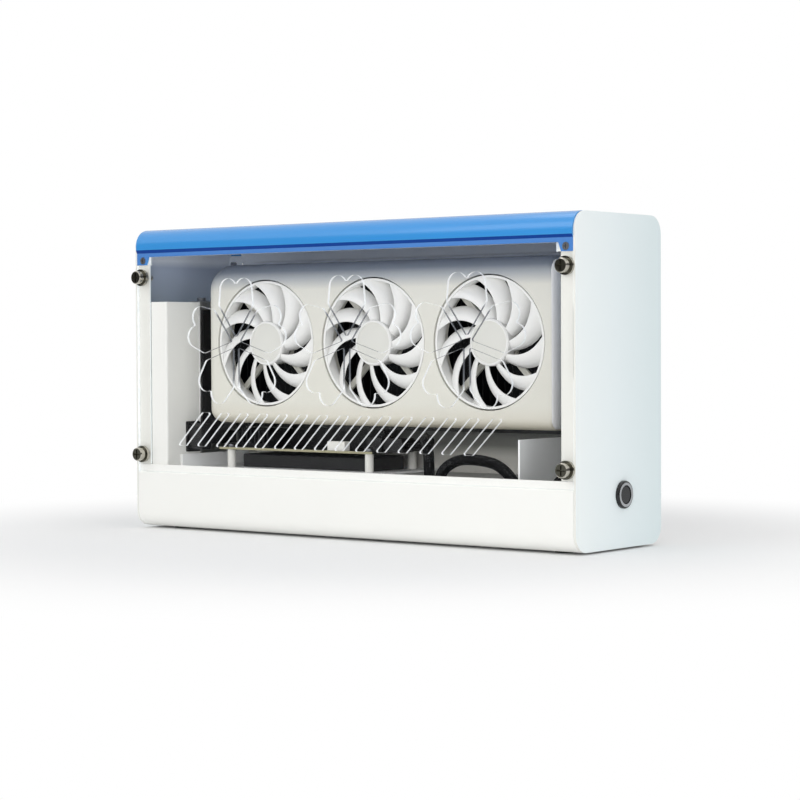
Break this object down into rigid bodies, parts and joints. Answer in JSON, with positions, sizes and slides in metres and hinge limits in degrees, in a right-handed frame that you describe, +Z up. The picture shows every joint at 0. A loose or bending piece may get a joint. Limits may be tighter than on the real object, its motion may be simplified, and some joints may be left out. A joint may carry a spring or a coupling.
{
  "type": "external graphics card enclosure",
  "caption": "Desktop enclosure that holds a graphics card with its dock board and power supply behind a clear vented window, with spinning fans and a push button.",
  "frame": {"origin": "bottom centre of the whole object, on the surface it stands on", "axes": "+X along the front from the end with the card's ports to the end with the push button, +Y from the window to the back wall, +Z up"},
  "size_m": [0.3824, 0.1106, 0.2155],
  "materials": {
    "case_white": "satin white powder coat",
    "panel_white": "satin cool white powder coat",
    "cover_blue": "satin blue powder coat",
    "screw_steel": "plated steel",
    "clear_acrylic": "clear polished acrylic",
    "nickel": "nickel plate",
    "foot_rubber": "matte black rubber",
    "inner_grey": "satin light grey paint",
    "black_plastic": "fine matte black",
    "bracket_steel": "bright plated steel",
    "shroud_white": "satin off-white",
    "board_black": "black solder mask",
    "fin_black": "black anodised",
    "chip_grey": "dark grey",
    "plate_black": "black anodised",
    "standoff_white": "white nylon",
    "socket_white": "white nylon",
    "cable_braid": "black braided sleeve",
    "divider_grey": "satin grey paint",
    "supply_steel": "dark grey paint",
    "lead_rubber": "matte black sheath",
    "button_steel": "brushed ring",
    "button_cap": "dark gloss cap",
    "fan_white": "satin white",
    "motor_steel": "dark steel"
  },
  "bodies": {
    "enclosure": {"chassis_shell": "case_white", "end_panel_left": "panel_white", "end_panel_right": "panel_white", "top_cover": "cover_blue", "cover_screws": "screw_steel", "window_panel": "clear_acrylic", "window_thumbscrews": "nickel", "window_nuts": "screw_steel", "rubber_feet": "foot_rubber", "slot_wall": "inner_grey", "link_socket": "black_plastic", "card_bracket": "bracket_steel", "card_ports": "bracket_steel", "bracket_screws": "screw_steel", "card_shroud": "shroud_white", "card_pcb": "board_black", "card_heatsink": "fin_black", "card_chip": "chip_grey", "card_backplate": "plate_black", "board_tray": "case_white", "standoffs": "standoff_white", "dock_board": "board_black", "board_screws": "screw_steel", "card_slot": "black_plastic", "chip_heatsink": "fin_black", "board_header": "socket_white", "board_power_socket": "black_plastic", "board_plug": "black_plastic", "board_cable": "cable_braid", "divider_plate": "divider_grey", "supply_case": "supply_steel", "supply_fan_frame": "black_plastic", "supply_inlet": "black_plastic", "supply_screws": "screw_steel", "mains_inlet": "black_plastic", "mains_plug": "black_plastic", "mains_lead": "lead_rubber", "button_body": "button_steel", "button_nut": "screw_steel", "card_power_socket": "black_plastic", "card_plug": "black_plastic", "card_cable": "cable_braid", "fan_motor_1": "motor_steel", "fan_motor_2": "motor_steel", "fan_motor_3": "motor_steel"},
    "card_fan_1": {"fan_rotor_1": "fan_white"},
    "card_fan_2": {"fan_rotor_2": "fan_white"},
    "card_fan_3": {"fan_rotor_3": "fan_white"},
    "supply_fan": {"supply_fan_rotor": "black_plastic"},
    "power_button": {"button_cap": "button_cap"}
  },
  "joints": [
    {"name": "card_fan_1_spin", "type": "hinge", "parent": "enclosure", "child": "card_fan_1", "pos_m": [-0.0953, -0.01225, 0.1335], "axis": [0, 1, 0], "continuous": true},
    {"name": "card_fan_2_spin", "type": "hinge", "parent": "enclosure", "child": "card_fan_2", "pos_m": [0.002, -0.01225, 0.1335], "axis": [0, 1, 0], "continuous": true},
    {"name": "card_fan_3_spin", "type": "hinge", "parent": "enclosure", "child": "card_fan_3", "pos_m": [0.0993, -0.01225, 0.1335], "axis": [0, 1, 0], "continuous": true},
    {"name": "supply_fan_spin", "type": "hinge", "parent": "enclosure", "child": "supply_fan", "pos_m": [0.1338, -0.00085, 0.02295], "axis": [1, 0, 0], "continuous": true},
    {"name": "power_button_press", "type": "slide", "parent": "enclosure", "child": "power_button", "axis": [-1, 0, 0], "range_m": [0, 0.0012], "stiffness_N_per_m": 900}
  ]
}
